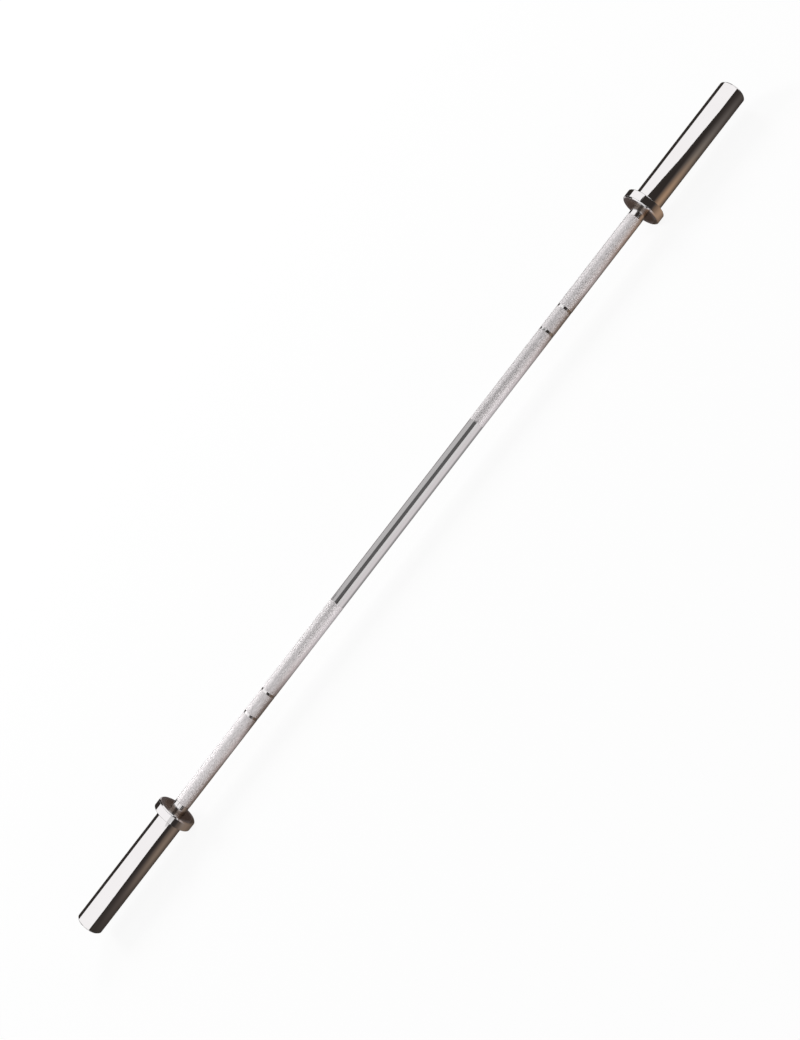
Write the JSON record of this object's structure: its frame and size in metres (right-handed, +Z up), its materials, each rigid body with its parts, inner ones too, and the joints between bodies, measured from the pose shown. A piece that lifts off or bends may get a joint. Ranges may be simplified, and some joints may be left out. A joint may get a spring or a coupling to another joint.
{
  "type": "barbell",
  "caption": "Long steel barbell with a knurled shaft, smooth centre, ring marks, and a collared chrome sleeve turning on bushes at each end to take weight plates.",
  "frame": {"origin": "middle of the shaft, on its own axis", "axes": "+X along the bar towards the right sleeve, +Z up"},
  "size_m": [1.83, 0.075, 0.075],
  "materials": {
    "shaft_chrome": "chrome plate, bright on the smooth stretches and satin on the knurl",
    "sleeve_chrome": "mirror-polished chrome plate",
    "bush_bronze": "turned oil-filled bronze",
    "washer_steel": "ground steel",
    "spring_steel": "dark phosphated spring steel",
    "seal_rubber": "matt black rubber",
    "cap_aluminium": "fine-turned satin aluminium"
  },
  "bodies": {
    "shaft": {"shaft": "shaft_chrome", "left_inner_thrust_washer": "washer_steel", "left_outer_thrust_washer": "washer_steel", "left_retaining_washer": "washer_steel", "left_shaft_snap_ring": "spring_steel", "right_inner_thrust_washer": "washer_steel", "right_outer_thrust_washer": "washer_steel", "right_retaining_washer": "washer_steel", "right_shaft_snap_ring": "spring_steel"},
    "left_sleeve": {"left_sleeve_tube": "sleeve_chrome", "left_sleeve_collar": "sleeve_chrome", "left_inner_bush": "bush_bronze", "left_outer_bush": "bush_bronze", "left_dust_seal": "seal_rubber", "left_end_cap": "cap_aluminium", "left_end_cap_ring": "spring_steel"},
    "right_sleeve": {"right_sleeve_tube": "sleeve_chrome", "right_sleeve_collar": "sleeve_chrome", "right_inner_bush": "bush_bronze", "right_outer_bush": "bush_bronze", "right_dust_seal": "seal_rubber", "right_end_cap": "cap_aluminium", "right_end_cap_ring": "spring_steel"}
  },
  "joints": [
    {"name": "left_sleeve_spin", "type": "hinge", "parent": "shaft", "child": "left_sleeve", "pos_m": [-0.794, 0, 0], "axis": [1, 0, 0], "continuous": true},
    {"name": "right_sleeve_spin", "type": "hinge", "parent": "shaft", "child": "right_sleeve", "pos_m": [0.794, 0, 0], "axis": [1, 0, 0], "continuous": true}
  ]
}
